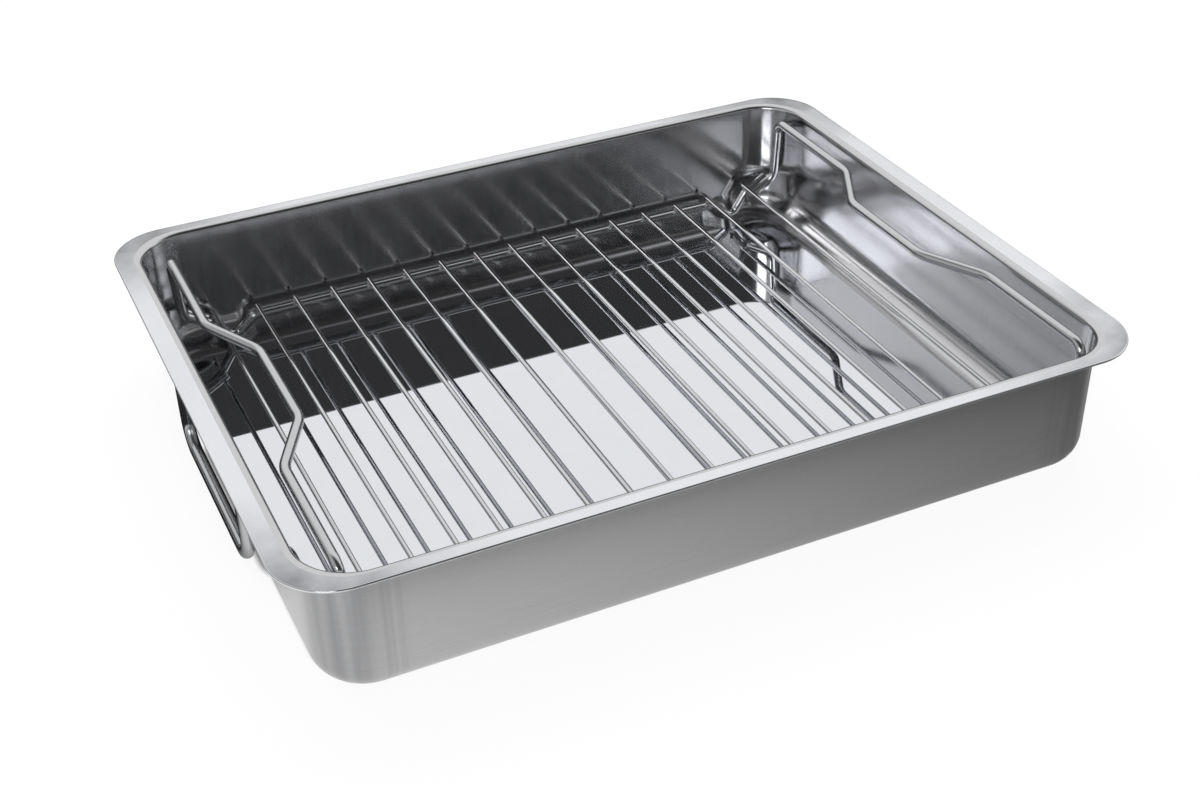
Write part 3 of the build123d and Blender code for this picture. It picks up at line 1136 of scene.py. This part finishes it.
def graded_card(name, columns, rows, point, *grades):
    """A sheet of painted light, seen only in reflections, as bright all over as its brightest
    grade.
    """
    wide = len(columns)
    squares = [
        (i + j * wide, i + 1 + j * wide, i + 1 + (j + 1) * wide, i + (j + 1) * wide)
        for j in range(len(rows) - 1)
        for i in range(wide - 1)
    ]
    mesh = bpy.data.meshes.new(name)
    mesh.from_pydata([point(column, row) for row in rows for column in columns], [], squares)
    glowing_sheet = bpy.data.materials.new(f"painted_light_sheet_{name}")
    tree = empty_tree(glowing_sheet)
    place = add_node(tree, "ShaderNodeTexCoord").outputs["Object"]
    level = grade_along(tree, place, *grades[0])
    for grade in grades[1:]:
        more = grade_along(tree, place, *grade)
        level = add_node(
            tree, "ShaderNodeMath", {0: level, 1: more}, operation="MAXIMUM"
        ).outputs[0]
    # Painted light: the sheet's brightness is its own glow, not a lamp's
    glow = add_node(tree, "ShaderNodeEmission", {"Color": WHITE, "Strength": level})
    add_node(tree, "ShaderNodeOutputMaterial", {"Surface": glow.outputs["Emission"]})
    mesh.materials.append(glowing_sheet)
    card = show(name, mesh)
    card.visible_camera = card.visible_diffuse = card.visible_shadow = False


# %% Hood, skirt and cards on the table
HOOD_RADIUS, HOOD_LIFT = 2.2, 0.002
SKIRT_RADIUS, SKIRT_HEIGHTS = 0.95 * HOOD_RADIUS, (0.0, 0.6, 1.2)
# Degrees round the hood's rings, degrees from its middle to each ring, and degrees round the skirt
HOOD_TURNS, HOOD_OPENINGS, SKIRT_TURNS = range(0, 181, 9), range(2, 138, 5), range(0, 181, 6)
CARD_LIFT = 0.001
RIGHT, BACKWARD, UPWARD = (1.0, 0.0, 0.0), (0.0, 1.0, 0.0), (0.0, 0.0, 1.0)
AWAY_FROM_HOOD = (0.6, 0.8, 0.0)
# Cards on the table: from and to along the pan, from and to across it, and the grade. Their inner
# edges, 0.18 from the middle at the ends and 0.145 at the sides, lie just outside the pan's foot
TABLE_CARDS = {
    "card_at_the_front": ((-0.9, 1.2), (-0.222, -0.145), (RIGHT, -0.3, 0.3, 1.05, 0.2)),
    "card_before_the_pan": ((-0.9, 1.2), (-1.5, -0.222), (RIGHT, -0.25, -0.1, 0.95, 0.05)),
    "card_at_the_left": ((-0.26, -0.18), (-0.145, 1.2), (BACKWARD, -0.08, -0.02, 0.95, 0.03)),
    "card_left_of_the_pan": ((-1.2, -0.26), (-0.145, 1.2), (BACKWARD, -0.1, 0.5, 0.95, 0.3)),
    "card_right_of_the_pan": ((0.18, 1.2), (-0.145, 1.2), (RIGHT, 0.3, 1.2, 0.4, 0.9)),
    "card_behind_the_pan": ((-0.18, 0.18), (0.145, 1.2), (BACKWARD, 0.3, 1.2, 0.4, 0.9)),
}


def hood_point(turn, opening):
    """A point of the hood, a part of a ball round the pan that opens away from the camera."""
    turn, opening = math.radians(turn), math.radians(opening)
    ring = HOOD_RADIUS * math.sin(opening)
    height = ring * math.sin(turn) + HOOD_LIFT
    return ring * math.cos(turn), -HOOD_RADIUS * math.cos(opening), height


def skirt_point(turn, height):
    """A point of the low, upright ring that stands behind the pan."""
    turn = math.radians(turn)
    return SKIRT_RADIUS * math.cos(turn), SKIRT_RADIUS * math.sin(turn), height


def flat_point(x, y):
    """A point of a card that lies on the table."""
    return x, y, CARD_LIFT


graded_card(
    "hood",
    HOOD_TURNS,
    HOOD_OPENINGS,
    hood_point,
    (AWAY_FROM_HOOD, -0.2, 0.95, 0.06, 1.0),
    (RIGHT, -0.35, -1.6, 0.06, 0.55),
    (UPWARD, 0.45, 0.85, 0.4, 0.06),
)
graded_card("skirt", SKIRT_TURNS, SKIRT_HEIGHTS, skirt_point, (UPWARD, 0.35, 0.95, 0.12, 1.0))
for name, (along, across, grade) in TABLE_CARDS.items():
    graded_card(name, along, across, flat_point, grade)
print("a hood, a skirt and", len(TABLE_CARDS), "cards on the table")

# %% [markdown]
# ## Ride and replace
#
# Each piece stands for its CAD nodes and rides on the body that they belong to, so it moves when a
# joint moves.

# %% Bodies and nodes


def stands_for(piece, body, slot, *nodes):
    """The piece rides on a body and takes the place of CAD nodes. Its slot is not used."""
    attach(piece, body)
    if nodes:
        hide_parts(*nodes)


stands_for(pan, "pan", "pan_steel", "pan_body")
for end, piece in bails.items():
    stands_for(piece, f"handle_{end}", "bail_wire_steel", f"bail_handle_{end}")
for node, piece in clips.items():
    stands_for(piece, "pan", "clip_steel", node)
for end, piece in carriers.items():
    stands_for(piece, "rack", "rack_frame_steel", f"carrier_wire_{end}")
for end, piece in rack_handles.items():
    stands_for(piece, "rack", "rack_frame_steel", f"rack_handle_{end}")
cross_nodes = [f"cross_wire_{i:02d}" for i in range(1, 17)]
stands_for(cross_wires, "rack", "cross_wire_steel", *cross_nodes)
stands_for(welds, "rack", "rack_frame_steel")

bpy.context.scene.view_settings.view_transform = "Standard"
